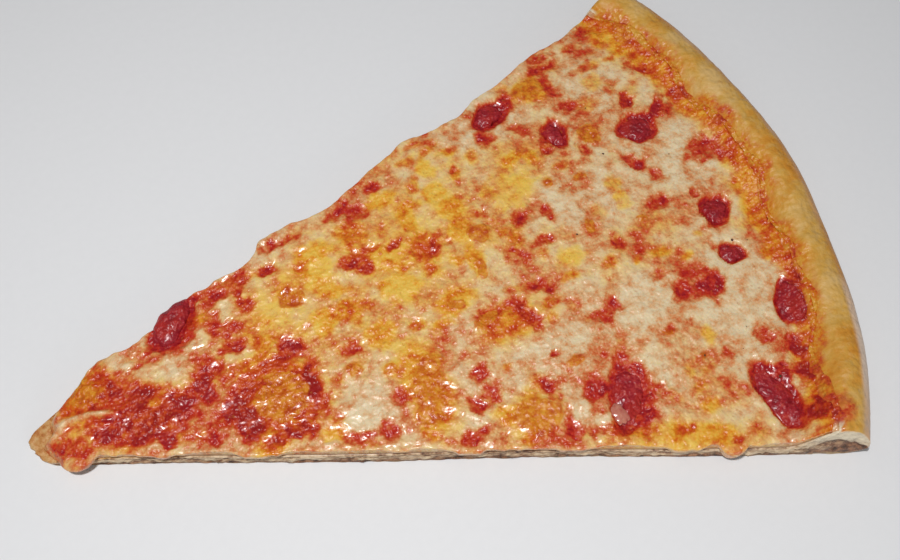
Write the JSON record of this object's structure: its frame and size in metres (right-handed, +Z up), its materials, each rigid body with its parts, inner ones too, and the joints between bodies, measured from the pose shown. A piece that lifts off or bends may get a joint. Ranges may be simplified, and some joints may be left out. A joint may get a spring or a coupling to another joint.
{
  "type": "cheese pizza slice",
  "caption": "Wedge of thin cheese pizza lying flat: bread crust with a raised rim, tomato sauce, melted cheese with openings, and crushed tomato.",
  "frame": {"origin": "centre of the slice's bounding box, at the flat underside of the crust", "axes": "+X along the slice's middle line from the tip to the rim, +Y from the near, straight cut to the far cut, +Z up"},
  "size_m": [0.2374, 0.1674, 0.015],
  "materials": {
    "crust": "baked bread crust, golden brown and matte, pale floury underside with browned and charred patches",
    "sauce": "cooked tomato sauce with orange oil, wet and glossy",
    "cheese": "melted mozzarella, cream to orange, oily gloss",
    "tomato": "cooked crushed tomato, dark red, wet and glossy"
  },
  "bodies": {
    "root": {"crust": "crust", "sauce": "sauce", "cheese": "cheese", "tomato_piece_1": "tomato", "tomato_piece_2": "tomato", "tomato_piece_3": "tomato", "tomato_piece_4": "tomato", "tomato_piece_5": "tomato", "tomato_piece_6": "tomato", "tomato_piece_7": "tomato", "tomato_piece_8": "tomato", "tomato_piece_9": "tomato"}
  },
  "joints": []
}
